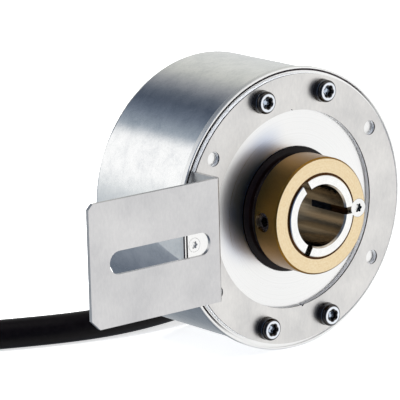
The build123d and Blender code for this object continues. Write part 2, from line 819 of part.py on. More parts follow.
# Strain relief boot, tapered and moulded round the cable
with BuildPart() as boot:
    boot_root = Plane(origin=cable_route[0], x_dir=(0, 1, 0), z_dir=(-1, 0, 0))
    with BuildSketch(boot_root):
        Circle(boot_root_d / 2)
    with BuildSketch(boot_root.offset(boot_length)):
        Circle(boot_tip_d / 2)
    loft()
    add(cable.part, mode=Mode.SUBTRACT)
finish(boot, "boot")

# Coil of the put-away cable, one solid of its outer shape
with BuildPart() as coil:
    with BuildSketch(Plane(origin=coil_centre, x_dir=(1, 0, 0), z_dir=(0, -1, 0))):
        with Locations((coil_mean_d / 2, coil_turns_high * cable_d / 2)):
            RectangleRounded(coil_turns_across * cable_d, coil_turns_high * cable_d, cable_d / 2 - 0.01)
    revolve(axis=Axis(coil_centre, (0, 0, 1)))
finish(coil, "coil")

# Tail of the cable lying on the coil, then its bared shield and its leads
with BuildPart() as cable_tail:
    with BuildSketch(coil_plane(tail_start_angle)):
        with Locations((coil_mean_d / 2, coil_top + cable_d / 2)):
            Circle(cable_d / 2)
    revolve(axis=Axis(coil_centre, (0, 0, 1)), revolution_arc=tail_arc)
finish(cable_tail, "cable_tail")

shield_start_angle = tail_start_angle + tail_arc
shield_arc = degrees(shield_length / (coil_mean_d / 2))
with BuildPart() as shield:
    with BuildSketch(coil_plane(shield_start_angle)):
        with Locations((coil_mean_d / 2, coil_top + cable_d / 2)):
            Circle(shield_d / 2)
    revolve(axis=Axis(coil_centre, (0, 0, 1)), revolution_arc=shield_arc)
finish(shield, "shield")

lead_arc = degrees(lead_length / (coil_mean_d / 2))
for number in range(lead_count):
    across, up = polar(lead_circle_d / 2, 360 / lead_count * number)
    with BuildPart() as lead:
        with BuildSketch(coil_plane(shield_start_angle + shield_arc)):
            with Locations((coil_mean_d / 2 + across, coil_top + cable_d / 2 + up)):
                Circle(lead_d / 2)
        revolve(axis=Axis(coil_centre, (0, 0, 1)), revolution_arc=lead_arc)
    finish(lead, f"lead_{number + 1}")
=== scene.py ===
import math

import bmesh
import bpy
from mathutils import Matrix, Vector


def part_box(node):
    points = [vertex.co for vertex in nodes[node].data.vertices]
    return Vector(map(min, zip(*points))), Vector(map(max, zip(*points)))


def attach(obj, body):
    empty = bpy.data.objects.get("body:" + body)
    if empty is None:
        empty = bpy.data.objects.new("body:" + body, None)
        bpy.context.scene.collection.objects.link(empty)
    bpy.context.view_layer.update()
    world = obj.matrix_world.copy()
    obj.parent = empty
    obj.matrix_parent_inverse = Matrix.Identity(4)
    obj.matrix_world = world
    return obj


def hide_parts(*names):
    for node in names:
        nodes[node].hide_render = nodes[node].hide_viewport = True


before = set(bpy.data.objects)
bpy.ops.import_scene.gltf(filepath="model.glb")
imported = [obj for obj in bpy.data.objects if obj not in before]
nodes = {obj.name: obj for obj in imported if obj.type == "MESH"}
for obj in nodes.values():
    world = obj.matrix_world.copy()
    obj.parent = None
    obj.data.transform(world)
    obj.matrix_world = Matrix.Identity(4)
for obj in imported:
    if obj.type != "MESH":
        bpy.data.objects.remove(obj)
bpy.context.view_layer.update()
mm = 0.001
close = 1e-6  # metres within which two places count as one
weld = 1e-7  # metres within which points are merged
sharp = math.radians(60)  # an edge that turns by more than this is chamfered
straight = 0.999  # a face looks along an axis when its normal holds this much of it

# Settings that several nodes share. A Mix node takes its colours at 6 and 7 and gives one at 2
product = {"operation": "MULTIPLY"}
softStep = {"interpolation_type": "SMOOTHSTEP"}
mixed = {"data_type": "RGBA"}
tinted = {"data_type": "RGBA", "blend_type": "MULTIPLY"}
print("frame loaded:", len(nodes), "solids")


# Small tools

def linear(hexColour, strength=1.0):
    # sRGB hex to the linear colour that a socket takes
    parts = [int(hexColour[i:i + 2], 16) / 255 for i in (1, 3, 5)]
    parts = [c / 12.92 if c <= 0.04045 else ((c + 0.055) / 1.055) ** 2.4 for c in parts]
    return [strength * c for c in parts] + [1.0]


def per(size):
    # pattern scale for features of a size in millimetres
    return 1 / (size * mm)


def join(tree, source, socket):
    # source is a node, whose first output is meant, or a node with the name or number of an output
    node, output = source if isinstance(source, tuple) else (source, 0)
    tree.links.new(node.outputs[output], socket)


def addNode(tree, kind, settings=None, links=None):
    # settings hold properties, socket values or colour stops, and links each socket's source
    made = tree.nodes.new("ShaderNode" + kind)
    for key, value in (settings or {}).items():
        if key == "stops":
            bar = made.color_ramp.elements
            while len(bar) < len(value):
                bar.new(1.0)
            for stop, (position, colour) in zip(bar, value):
                stop.position = position
                stop.color = linear(colour)
        elif isinstance(key, str) and hasattr(made, key):
            setattr(made, key, value)
        else:
            made.inputs[key].default_value = linear(value) if isinstance(value, str) else value
    for key, source in (links or {}).items():
        join(tree, source, made.inputs[key])
    return made


def newMaterial(name, **sockets):
    # a named material with its main shader and the object's own coordinates
    material = bpy.data.materials.new(name)
    material.use_nodes = True
    tree = material.node_tree
    tree.nodes.clear()
    values = {key.replace("_", " "): value for key, value in sockets.items()}
    shader = addNode(tree, "BsdfPrincipled", values)
    addNode(tree, "OutputMaterial", links={"Surface": shader})
    return material, tree, shader, (addNode(tree, "TexCoord"), "Object")


def coat(tree, shader, colour, height, depth, edge, gloss=None):
    # colour, a relief of a depth in mm over edges rounded by a radius in mm, so that they catch a
    # line of light, and gloss: a node, or a pattern with the roughness at its low and high end
    join(tree, colour, shader.inputs["Base Color"])
    if isinstance(gloss, tuple):
        pattern, low, high = gloss
        gloss = addNode(tree, "MapRange", {"To Min": low, "To Max": high}, {"Value": pattern})
    if gloss is not None:
        join(tree, gloss, shader.inputs["Roughness"])
    rounded = addNode(tree, "Bevel", {"samples": 4, "Radius": edge * mm})
    bump = addNode(tree, "Bump", {"Strength": 1.0, "Distance": depth * mm},
                   {"Height": height, "Normal": rounded})
    join(tree, bump, shader.inputs["Normal"])


def plainFinish(name, size, detail, stops, depth, edge, gloss=None, **sockets):
    # one fine noise varies the colour, the relief and, between two values, the roughness
    material, tree, shader, place = newMaterial(name, **sockets)
    noise = addNode(tree, "TexNoise", {"Scale": per(size), "Detail": detail}, {"Vector": place})
    tone = addNode(tree, "ValToRGB", {"stops": stops}, {"Fac": noise})
    coat(tree, shader, tone, noise, depth, edge, gloss and (noise, *gloss))
    return material


def fromAxis(tree, place):
    # how far a point lies from the shaft's axis
    flat = addNode(tree, "VectorMath", {**product, 1: (1, 0, 1)}, {0: place})
    return addNode(tree, "VectorMath", {"operation": "LENGTH"}, {0: flat}), "Value"


def lathed(tree, place):
    # direction of the tool marks, round the shaft's axis
    across = addNode(tree, "VectorMath", {"operation": "CROSS_PRODUCT", 1: (0, 1, 0)}, {0: place})
    return addNode(tree, "VectorTransform", {"vector_type": "VECTOR", "convert_from": "OBJECT",
                                             "convert_to": "WORLD"}, {0: across})


def sideWalls(tree, lean):
    # marks the faces that run along the shaft: how much of the axis their own normal may hold
    surface = addNode(tree, "NewGeometry")
    facing = addNode(tree, "SeparateXYZ", links={0: (surface, "True Normal")})
    along = addNode(tree, "Math", {"operation": "ABSOLUTE"}, {0: (facing, "Y")})
    return addNode(tree, "Math", {"operation": "LESS_THAN", 1: lean}, {0: along})


def softPatch(tree, *spans):
    # marks where each source has passed from its first to its second value, in millimetres
    mask = None
    for source, (start, full) in spans:
        edge = addNode(tree, "MapRange", {**softStep, "From Min": start * mm,
                                          "From Max": full * mm}, {"Value": source})
        if mask is not None:
            edge = addNode(tree, "Math", product, {0: mask, 1: edge})
        mask = edge
    return mask


def paint(material, *names):
    # gives CAD solids their finish
    for name in names:
        for slot in nodes[name].material_slots:
            slot.material = material


# Camera, at the photograph's angle, and the studio

view = {"azimuth": -38.446, "elevation": 13.342, "roll": -1.595, "distance": 1.02688,
        "target": (-0.036156, 0.0, 0.008869), "focalPixels": 3397.5, "pixels": 400, "sensor": 36,
        "clip": (0.05, 100)}


def placeCamera():
    a, e, r = (math.radians(view[key]) for key in ("azimuth", "elevation", "roll"))
    back = Vector((math.sin(a) * math.cos(e), -math.cos(a) * math.cos(e), math.sin(e)))
    level = Vector((math.cos(a), math.sin(a), 0))
    above = back.cross(level)
    right = math.cos(r) * level + math.sin(r) * above
    up = -math.sin(r) * level + math.cos(r) * above
    spot = Vector(view["target"]) + back * view["distance"]
    bpy.ops.object.camera_add(location=spot)
    camera = bpy.context.object
    axes = Matrix((right, up, back)).transposed().to_4x4()
    camera.matrix_world = Matrix.Translation(spot) @ axes
    camera.data.lens = view["focalPixels"] / view["pixels"] * view["sensor"]
    camera.data.sensor_width = view["sensor"]
    camera.data.clip_start, camera.data.clip_end = view["clip"]
    bpy.context.scene.camera = camera


# turnBands: what stands behind the object, going round the shaft: place on the turn and colour,
# where 0 is straight along -X, 0.25 down, 0.5 along +X, 0.75 up and 1 back at -X
# panel and shade: a lit and a dim part of the front, each round the way it faces
studio = {"floor": -0.04445, "floorSize": 12.0, "floorColour": "#fafafa", "floorGlow": 0.7,
          "plainSky": "#ffffff", "front": "#f3f3f2", "turnStart": -0.35, "turnEnd": 0.25,
          "panelWay": (0.605, -0.762, -0.231), "panelFrom": 0.82, "panelTo": 0.97,
          "panelColour": linear("#ffffff", strength=1.08),
          "shadeWay": (-0.62, -0.72, 0.18), "shadeFrom": 0.42, "shadeTo": 0.80,
          "shadeColour": linear("#616f88"),
          "lampHeight": 2.4, "lampSize": 3.6, "lampPower": 110.0,
          "turnBands": [
              (0.00, "#dfe3e5"), (0.035, "#c3c9cd"), (0.075, "#a3acb5"), (0.12, "#747d8b"),
              (0.15, "#656d7b"), (0.22, "#69727e"), (0.33, "#868d95"), (0.42, "#b2b6ba"),
              (0.47, "#d8dada"), (0.60, "#d5d6d2"), (0.655, "#c4c5c0"), (0.70, "#94969a"),
              (0.735, "#5f6671"), (0.765, "#485160"), (0.80, "#677180"), (0.845, "#9aa4af"),
              (0.87, "#ffffff"), (0.955, "#ffffff"), (0.985, "#eceeef")]}


def buildFloorAndLamp():
    bpy.ops.mesh.primitive_plane_add(size=studio["floorSize"], location=(0, 0, studio["floor"]))
    floor = bpy.context.object
    floor.name = "studio_floor"
    material, _, shader, _ = newMaterial("matte white studio floor", Roughness=0.9,
                                         Emission_Strength=studio["floorGlow"])
    for socket in ("Base Color", "Emission Color"):  # the glow keeps the shadow pale
        shader.inputs[socket].default_value = linear(studio["floorColour"])
    floor.data.materials.append(material)
    floor.visible_glossy = False  # the shiny side mirrors the studio's walls, not its own floor
    bpy.ops.object.light_add(type="AREA", location=(0, 0, studio["lampHeight"]))
    lamp = bpy.context.object
    lamp.data.shape = "DISK"
    lamp.data.size = studio["lampSize"]
    lamp.data.energy = studio["lampPower"]
    lamp.visible_glossy = False


def buildWalls():
    # what the metal mirrors: bands round the back, a plain front with its panel and its shade
    world = bpy.data.worlds.new("soft studio")
    bpy.context.scene.world = world
    world.use_nodes = True
    tree = world.node_tree
    tree.nodes.clear()
    way = (addNode(tree, "TexCoord"), "Generated")
    axes = addNode(tree, "SeparateXYZ", links={0: way})
    turn = addNode(tree, "Math", {"operation": "ARCTAN2"}, {0: (axes, "Z"), 1: (axes, "X")})
    share = addNode(tree, "MapRange", {"From Min": -math.pi, "From Max": math.pi}, {"Value": turn})
    bands = addNode(tree, "ValToRGB", {"stops": studio["turnBands"]}, {"Fac": share})
    front = addNode(tree, "RGB")
    front.outputs[0].default_value = linear(studio["front"])
    for part in ("shade", "panel"):
        heading = Vector(studio[part + "Way"]).normalized()
        toward = addNode(tree, "VectorMath", {"operation": "DOT_PRODUCT", 1: heading}, {0: way})
        amount = addNode(tree, "MapRange", {**softStep, "From Min": studio[part + "From"],
                                            "From Max": studio[part + "To"]},
                         {"Value": (toward, "Value")})
        front = (addNode(tree, "Mix", {**mixed, 7: studio[part + "Colour"]},
                         {0: amount, 6: front}), 2)
    behind = addNode(tree, "MapRange", {**softStep, "From Min": studio["turnStart"],
                                        "From Max": studio["turnEnd"]}, {"Value": (axes, "Y")})
    around = addNode(tree, "Mix", mixed, {0: behind, 6: front, 7: bands})
    shown = addNode(tree, "Background", {"Color": studio["plainSky"]})
    felt = addNode(tree, "Background", links={"Color": (around, 2)})
    path = addNode(tree, "LightPath")
    both = addNode(tree, "MixShader", links={0: (path, "Is Camera Ray"), 1: felt, 2: shown})
    addNode(tree, "OutputWorld", links={0: both})


bpy.context.scene.view_settings.view_transform = "Standard"
placeCamera()
buildFloorAndLamp()
buildWalls()
print("camera and studio set")


# Cable: a round black jacket that lies on the floor and is wound up out of view

# The turns go outer, inner, then up, inner, outer, and the tail climbs on top. Each crossing or
# climb has the angle where it starts and its reach in diameters; all last stepLength degrees
cable = {"diameter": 9.4, "route": [(22, 50.2, -38.25), (2, 50.2, -38.25), (-18.5, 49.6, -39.75),
                                    (-41, 51.4, -39.75), (-68, 62.6, -39.75), (-94, 77.6, -39.75)],
         "coilEntry": (-118.5, 98.2, -39.75), "coilRadius": 51.5, "coilPoints": 61,
         "tailEnd": 1503.0, "firstTurn": 0.5, "stepLength": 60,
         "crossings": [(350, -1), (945, 1), (1268, -0.5)],
         "climbs": [(635, 1), (1268, 0.87), (1443, 0.13)]}


def coilPoint(angle):
    # radius and height of the cable's middle at an angle
    step = lambda start: min(1.0, max(0.0, (angle - start) / cable["stepLength"]))
    across = sum((reach * step(start) for start, reach in cable["crossings"]), cable["firstTurn"])
    upward = sum(reach * step(start) for start, reach in cable["climbs"])
    return (cable["coilRadius"] + cable["diameter"] * across,
            cable["coilEntry"][2] + cable["diameter"] * upward)


def coilStart():
    # where the coil's axis stands, and the angle at which the cable meets it
    before, entry = Vector(cable["route"][-1]), Vector(cable["coilEntry"])
    heading = (entry - before).normalized()
    side = Vector((-heading.y, heading.x, 0))
    return entry + side * coilPoint(0)[0], math.degrees(math.atan2(-side.y, -side.x))


def windCable():
    centre, first = coilStart()
    share = (cable["tailEnd"] - first) / cable["coilPoints"]
    widen = 1 / math.cos(math.radians(share / 2))  # a smooth curve runs inside its control points
    points = [Vector(point) for point in cable["route"]]
    for number in range(cable["coilPoints"] + 1):
        angle = first + share * (number + 0.5)
        if number == cable["coilPoints"]:
            angle, widen = cable["tailEnd"], 1.0  # the last point is the end itself
        radius, height = coilPoint(angle)
        around = Vector((math.cos(math.radians(angle)), math.sin(math.radians(angle)), 0))
        points.append(Vector((centre.x, centre.y, height)) + around * radius * widen)
    return points


def curveThrough(name, points, radius, smooth):
    # a round wire along its control points, which are in millimetres
    data = bpy.data.curves.new(name, "CURVE")
    data.dimensions = "3D"
    line = data.splines.new("NURBS")
    line.points.add(len(points) - 1)
    for point, spot in zip(line.points, points):
        point.co = (*(spot * mm), 1.0)
    line.order_u = 3
    line.use_endpoint_u = True
    data.resolution_u = 10
    data.bevel_depth = radius * mm
    data.bevel_resolution = smooth
    data.use_fill_caps = True
    wire = bpy.data.objects.new(name, data)
    bpy.context.collection.objects.link(wire)
    return wire


def blackPvc():
    # extruded PVC: nearly black, a soft broad sheen and a very faint orange peel
    return plainFinish("extruded black PVC", size=1.6, detail=3.0, depth=0.02, edge=0.3,
                       stops=[(0.3, "#050305"), (0.7, "#0a070a")], Roughness=0.34, IOR=1.35,
                       Specular_IOR_Level=0.18)


def lengthOf(curve):
    # the centre line's own length, read from the curve without its thickness
    bare = curve.copy()
    bare.data = curve.data.copy()
    bare.data.bevel_depth = 0
    bpy.context.collection.objects.link(bare)
    evaluated = bare.evaluated_get(bpy.context.evaluated_depsgraph_get())
    spots = [v.co.copy() for v in bpy.data.meshes.new_from_object(evaluated).vertices]
    bpy.data.objects.remove(bare)
    return sum((b - a).length for a, b in zip(spots, spots[1:]))


jacket = curveThrough("cable_jacket", windCable(), cable["diameter"] / 2, smooth=7)
jacket.data.materials.append(blackPvc())
jacket.visible_glossy = False  # the put-away coil would darken the bright housing beside it
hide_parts("cable", "coil", "cable_tail")
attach(jacket, "housing")
jacketLength = lengthOf(jacket)
print("cable length:", round(jacketLength, 3), "m")


# Bared end of the cable: braided shield and six tinned leads, lying on the coil

# Sizes in millimetres. fanShares and fanTurn spread the leads unevenly, tuck is how far a piece
# starts inside the one before it, and lowDroop is the lower leads' share of the droop
bareEnd = {"shieldLength": 9.0, "shieldRadius": 3.35, "wires": 14, "wireRadius": 0.28,
           "wireTurns": 0.55, "wireSteps": 8, "weave": 0.12, "wireTuck": 0.4,
           "coreStops": (-0.3, 3, 6, 8.8), "coreGap": 0.25, "leadLength": 34.0, "leadRadius": 0.75,
           "leadSteps": 7, "leadTuck": 0.5, "circle": 2.2, "fan": 0.75, "fanShares": (0.6, 0.4),
           "fanTurn": 2.1, "droop": 1.3, "lowDroop": 0.4, "flatten": 0.35, "bareTip": 5.0,
           "tipRadius": 0.42, "tipTuck": 0.6, "tipExtra": 0.4, "tipBend": 0.8,
           "tipStops": (0, 0.35, 0.7, 1.0),
           "colours": [("white", "#e9e7e0"), ("brown", "#5b3a26"), ("green", "#2f7d4a"),
                       ("yellow", "#e3c53a"), ("grey", "#8d9092"), ("pink", "#df9aa2")]}


def tailSpot(distance, across=0.0, up=0.0):
    # a point past the jacket's end, along the arc on top of the coil
    centre = coilStart()[0]
    radius, height = coilPoint(cable["tailEnd"])
    angle = math.radians(cable["tailEnd"]) + distance / radius
    reach = radius + across
    return Vector((centre.x + reach * math.cos(angle), centre.y + reach * math.sin(angle),
                   height + up))


def tinnedCopper():
    # drawn tinned wire: a soft grey shine, a little uneven from the dip
    return plainFinish("tinned copper wire", size=0.5, detail=2.0, depth=0.01, edge=0.05,
                       stops=[(0.35, "#b9b8b4"), (0.65, "#dcdbd7")], Metallic=1.0, Roughness=0.32)


def leadPvc(name, colour):
    # coloured PVC insulation: satin, with a faint cloudiness and a slight extruded grain
    material, tree, shader, place = newMaterial(f"{name} PVC lead insulation", Roughness=0.38,
                                                IOR=1.5)
    cloud = addNode(tree, "TexNoise", {"Scale": per(3.0), "Detail": 3.0}, {"Vector": place})
    tint = addNode(tree, "ValToRGB", {"stops": [(0.2, "#d9d9d9"), (0.8, "#ffffff")]},
                   {"Fac": cloud})
    tone = addNode(tree, "Mix", {**tinted, 0: 1.0, 6: colour}, {7: tint})
    coat(tree, shader, (tone, 2), cloud, depth=0.01, edge=0.1)
    return material


def meshFrom(name, curves):
    # one mesh piece from several wires
    bpy.ops.object.select_all(action="DESELECT")
    for curve in curves:
        curve.select_set(True)
    bpy.context.view_layer.objects.active = curves[0]
    bpy.ops.object.convert(target="MESH")
    bpy.ops.object.join()
    piece = bpy.context.object
    piece.name = piece.data.name = name
    return piece


def buildShield():
    # two sets of wires wind against each other round a core
    wires = []
    for hand in (1, -1):
        for number in range(bareEnd["wires"]):
            points = []
            for step in range(bareEnd["wireSteps"] + 1):
                along = step / bareEnd["wireSteps"]
                turns = number / bareEnd["wires"] + hand * bareEnd["wireTurns"] * along
                angle = 2 * math.pi * turns
                wave = math.cos(math.pi * (step + number) * (hand + 1) / 2)
                radius = bareEnd["shieldRadius"] + bareEnd["weave"] * wave
                points.append(tailSpot(bareEnd["shieldLength"] * along - bareEnd["wireTuck"],
                                       radius * math.cos(angle), radius * math.sin(angle)))
            wires.append(curveThrough("shield_wire", points, bareEnd["wireRadius"], smooth=1))
    core = curveThrough("shield_core", [tailSpot(stop) for stop in bareEnd["coreStops"]],
                        bareEnd["shieldRadius"] - bareEnd["coreGap"], smooth=5)
    shield = meshFrom("braided_shield", wires + [core])
    shield.data.materials.clear()
    shield.data.materials.append(tinnedCopper())
    return shield


def buildLead(number):
    # an insulated lead that fans out and sinks a little, with its tinned tip
    name, colour = bareEnd["colours"][number]
    angle = 2 * math.pi * number / len(bareEnd["colours"])
    side, up = bareEnd["circle"] * math.cos(angle), bareEnd["circle"] * math.sin(angle)
    start = bareEnd["shieldLength"] - bareEnd["leadTuck"]
    reach = bareEnd["leadLength"] - bareEnd["bareTip"]
    even, uneven = bareEnd["fanShares"]
    fan = even + uneven * math.cos(bareEnd["fanTurn"] * number)
    sink = -bareEnd["droop"]
    spots = []
    for step in range(bareEnd["leadSteps"] + 1):
        along = step / bareEnd["leadSteps"]
        spread = 1 + bareEnd["fan"] * along * along * fan
        drop = sink * along * along * (1 if up > 0 else bareEnd["lowDroop"])
        spots.append((start + reach * along, side * spread,
                      up * (1 - bareEnd["flatten"] * along) + drop))
    skin = curveThrough("lead_skin", [tailSpot(*spot) for spot in spots], bareEnd["leadRadius"],
                        smooth=3)
    last, before = spots[-1], spots[-2]
    length = bareEnd["bareTip"] + bareEnd["tipExtra"]
    bend = bareEnd["tipBend"]
    out = [(last[0] - bareEnd["tipTuck"] + share * length,
            last[1] + share * (last[1] - before[1]) * bend,
            last[2] + share * (last[2] - before[2]) * bend) for share in bareEnd["tipStops"]]
    tip = curveThrough("lead_tip", [tailSpot(*spot) for spot in out], bareEnd["tipRadius"],
                       smooth=2)
    skin.data.materials.append(leadPvc(name, colour))
    tip.data.materials.append(tinnedCopper())
    return meshFrom(f"lead_{name}", [skin, tip])


shieldPiece = buildShield()
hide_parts("shield")
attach(shieldPiece, "housing")
for number in range(len(bareEnd["colours"])):
    lead = buildLead(number)
    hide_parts(f"lead_{number + 1}")
    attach(lead, "housing")
print("cable end made")


# Ways to work on a mesh in edit mode

def edit(piece, mode="FACE"):
    bpy.context.view_layer.objects.active = piece
    bpy.ops.object.mode_set(mode="EDIT")
    bpy.ops.mesh.select_mode(type=mode)


def pick(piece, mode, test):
    # selects the faces, edges or points that pass a test
    bpy.ops.mesh.select_mode(type=mode)
    shape = bmesh.from_edit_mesh(piece.data)
    bpy.ops.mesh.select_all(action="DESELECT")
    for part in {"FACE": shape.faces, "EDGE": shape.edges, "VERT": shape.verts}[mode]:
        part.select_set(test(part))
    bmesh.update_edit_mesh(piece.data)


def atDepth(face, depth):
    return abs(face.calc_center_median().y - depth) < close


def turnsSharply(edge):
    return edge.is_manifold and edge.calc_face_angle(0) > sharp


def closeUp(distance=weld):
    # merges points that meet and turns every face outward
    bpy.ops.mesh.select_all(action="SELECT")
    bpy.ops.mesh.remove_doubles(threshold=distance)
    bpy.ops.mesh.normals_make_consistent(inside=False)


def leaveEdit(angle):
    # edges that turn by more than an angle in degrees stay crisp
    bpy.ops.object.mode_set(mode="OBJECT")
    bpy.ops.object.shade_smooth_by_angle(angle=math.radians(angle))


def placeCopy(master, name, location, turn):
    # a copy of a master piece, whose place and turn are settled in its mesh
    piece = master.copy()
    piece.data = master.data.copy()
    bpy.context.collection.objects.link(piece)
    bpy.ops.object.select_all(action="DESELECT")
    piece.select_set(True)
    bpy.context.view_layer.objects.active = piece
    piece.location = location
    piece.rotation_euler = (0, turn, 0)
    bpy.ops.object.transform_apply()
    piece.name = piece.data.name = name
    return piece


# Pan head screws with a six-lobe recess and split lock washers, on the torque arm's ring

# Lengths in millimetres and turns in degrees. lobes gives the points of one sixth of the recess
# their share of its radius; turnTimes sets each washer's gap a different way from its screw
armScrew = {"circle": 75.5, "angles": (71.2, 108.8, 251.2, 288.8), "turns": (8, 21, 3, 34),
            "headFront": -4.4, "headBack": -1.8, "headRadius": 3.5, "round": 0.98, "roundSteps": 6,
            "mouth": 2.12, "lead": 0.25, "recess": 1.85, "recessDepth": 1.25, "recessFloor": 0.8,
            "lobeCount": 6, "lobes": {4: 0.72, 3: 0.78, 5: 0.78, 2: 0.93, 6: 0.93},
            "shankRadius": 1.95, "shankEnd": 3.8, "sides": 48, "crisp": 40,
            # the face and floor colours here are painted highlights on the screw's face and its
            # recess's floor
            "faceLean": (-0.9, -0.98), "faceDepth": (-4.3, -4.38), "faceHighlightColour": "#e4e9f0",
            "floorHalf": 0.05, "floorColour": "#b4c0d0"}
lockWasher = {"inner": 2.1, "outer": 3.62, "back": -1.22, "front": -1.78, "gap": 14.0, "steps": 44,
              "chamfer": 0.12, "turnTimes": 7, "crisp": 35}


def blackenedSteel():
    # chemically blackened steel, lightly oiled: near black and glossy; the screw's face and its
    # recess's floor carry painted highlights, bright colour painted where the light falls on them
    material, tree, shader, place = newMaterial("oiled black oxide steel", Metallic=1.0)
    film = addNode(tree, "TexNoise", {"Scale": per(0.7), "Detail": 2.0}, {"Vector": place})
    tone = addNode(tree, "ValToRGB", {"stops": [(0.3, "#3b3938"), (0.7, "#514d4b")]}, {"Fac": film})
    surface = addNode(tree, "NewGeometry")
    facing = addNode(tree, "SeparateXYZ", links={0: (surface, "Normal")})
    axes = addNode(tree, "SeparateXYZ", links={0: place})
    (lean, square), (depth, front) = armScrew["faceLean"], armScrew["faceDepth"]
    forward = addNode(tree, "MapRange", {"From Min": lean, "From Max": square},
                      {"Value": (facing, "Y")})
    outside = addNode(tree, "MapRange", {"From Min": depth * mm, "From Max": front * mm},
                      {"Value": (axes, "Y")})
    face = addNode(tree, "Math", product, {0: forward, 1: outside})
    floor = armScrew["headFront"] + armScrew["lead"] + armScrew["recessDepth"]
    bottom = addNode(tree, "Math", {"operation": "COMPARE", 1: floor * mm,
                                    2: armScrew["floorHalf"] * mm}, {0: (axes, "Y")})
    # painted highlights: the recess's floor and then the screw's face are painted bright
    recessFloorLit = addNode(tree, "Mix", {**mixed, 7: armScrew["floorColour"]}, {0: bottom, 6: tone})
    bright = addNode(tree, "Mix", {**mixed, 7: armScrew["faceHighlightColour"]}, {0: face, 6: (recessFloorLit, 2)})
    coat(tree, shader, (bright, 2), film, depth=0.003, edge=0.1, gloss=(film, 0.08, 0.15))
    return material


def buildArmScrew():
    front, back = armScrew["headFront"] * mm, armScrew["headBack"] * mm
    bpy.ops.mesh.primitive_cylinder_add(
        vertices=armScrew["sides"], depth=back - front, radius=armScrew["headRadius"] * mm,
        location=(0, (front + back) / 2, 0), rotation=(math.pi / 2, 0, 0))
    screw = bpy.context.object
    bpy.ops.object.transform_apply()
    edit(screw)
    pick(screw, "EDGE", lambda edge: all(abs(v.co.y - front) < close for v in edge.verts))
    bpy.ops.mesh.bevel(offset=armScrew["round"] * mm, segments=armScrew["roundSteps"],
                       affect="EDGES")
    pick(screw, "FACE", lambda face: face.normal.y < -straight)
    rim = armScrew["headRadius"] - armScrew["round"] - armScrew["mouth"]
    bpy.ops.mesh.inset(thickness=rim * mm)
    mouth = front + armScrew["lead"] * mm
    bpy.ops.mesh.extrude_region_move(
        TRANSFORM_OT_translate={"value": (0, armScrew["lead"] * mm, 0)})
    share = armScrew["recess"] / armScrew["mouth"]
    bpy.ops.transform.resize(value=(share, 1, share), center_override=(0, mouth, 0))
    step = 2 * math.pi / armScrew["sides"]
    perLobe = armScrew["sides"] // armScrew["lobeCount"]
    for offset, size in armScrew["lobes"].items():
        pick(screw, "VERT", lambda v: abs(v.co.y - mouth) < close
             and math.hypot(v.co.x, v.co.z) < armScrew["mouth"] * mm
             and round(math.atan2(v.co.z, v.co.x) / step) % perLobe == offset)
        bpy.ops.transform.resize(value=(size, 1, size), center_override=(0, mouth, 0))
    pick(screw, "FACE", lambda face: face.normal.y < -straight and atDepth(face, mouth))
    deep, narrow = armScrew["recessDepth"] * mm, armScrew["recessFloor"]
    bpy.ops.mesh.extrude_region_move(TRANSFORM_OT_translate={"value": (0, deep, 0)})
    bpy.ops.transform.resize(value=(narrow, 1, narrow), center_override=(0, mouth + deep, 0))
    pick(screw, "FACE", lambda face: face.normal.y > straight and atDepth(face, back))
    bpy.ops.mesh.inset(thickness=(armScrew["headRadius"] - armScrew["shankRadius"]) * mm)
    shank = armScrew["shankEnd"] - armScrew["headBack"]
    bpy.ops.mesh.extrude_region_move(TRANSFORM_OT_translate={"value": (0, shank * mm, 0)})
    leaveEdit(armScrew["crisp"])
    return screw


def buildLockWasher():
    keys = ("inner", "outer", "front", "back")
    inner, outer, front, back = (lockWasher[key] * mm for key in keys)
    bpy.ops.mesh.primitive_plane_add(size=1, location=((inner + outer) / 2, (front + back) / 2, 0))
    washer = bpy.context.object
    washer.scale = (outer - inner, back - front, 1)
    bpy.ops.object.transform_apply()
    edit(washer)
    bpy.ops.mesh.select_all(action="SELECT")
    bpy.ops.mesh.spin(steps=lockWasher["steps"], angle=math.radians(360 - lockWasher["gap"]),
                      center=(0, 0, 0), axis=(0, 1, 0))
    closeUp()
    pick(washer, "EDGE", turnsSharply)
    bpy.ops.mesh.bevel(offset=lockWasher["chamfer"] * mm, segments=2, affect="EDGES")
    leaveEdit(lockWasher["crisp"])
    return washer


blackSteel = blackenedSteel()
masterScrew, masterWasher = buildArmScrew(), buildLockWasher()
for master in (masterScrew, masterWasher):
    master.data.materials.append(blackSteel)
ringRadius = armScrew["circle"] / 2 * mm
kinds = ((masterScrew, "pan_head_screw", "arm_screw", 1),
         (masterWasher, "split_washer", "lock_washer", lockWasher["turnTimes"]))
for number, angle in enumerate(armScrew["angles"]):
    way = math.radians(angle)
    spot = (ringRadius * math.cos(way), 0, ringRadius * math.sin(way))
    for master, name, node, times in kinds:
        turn = math.radians(armScrew["turns"][number] * times)
        piece = placeCopy(master, f"{name}_{number + 1}", spot, turn)
        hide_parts(f"{node}_{number + 1}")
        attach(piece, "housing")
bpy.data.objects.remove(masterScrew)
bpy.data.objects.remove(masterWasher)
print("arm screws made")


# Strain relief boot: a moulded sleeve with ribs that shrink towards its tip

boot = {"rootX": 22.0, "length": 18.0, "rootRadius": 6.0, "tipRadius": 5.3, "ribs": 6,
        "groove": 0.7, "grooveShare": 0.4, "collar": 3.0, "centre": (50.2, -38.25), "sides": 48,
        "chamfer": 0.18, "crisp": 35}


def mouldedNylon():
    # moulded black nylon: a fine spark-eroded grain that greys where it catches the light
    material, tree, shader, place = newMaterial("moulded black nylon", IOR=1.53)
    grain = addNode(tree, "TexNoise", {"Scale": per(0.35), "Detail": 3.0}, {"Vector": place})
    cloud = addNode(tree, "TexNoise", {"Scale": per(7.0), "Detail": 2.0}, {"Vector": place})
    tone = addNode(tree, "ValToRGB", {"stops": [(0.3, "#131315"), (0.7, "#1f1f22")]},
                   {"Fac": cloud})
    coat(tree, shader, tone, grain, depth=0.03, edge=0.25, gloss=(grain, 0.38, 0.58))
    return material


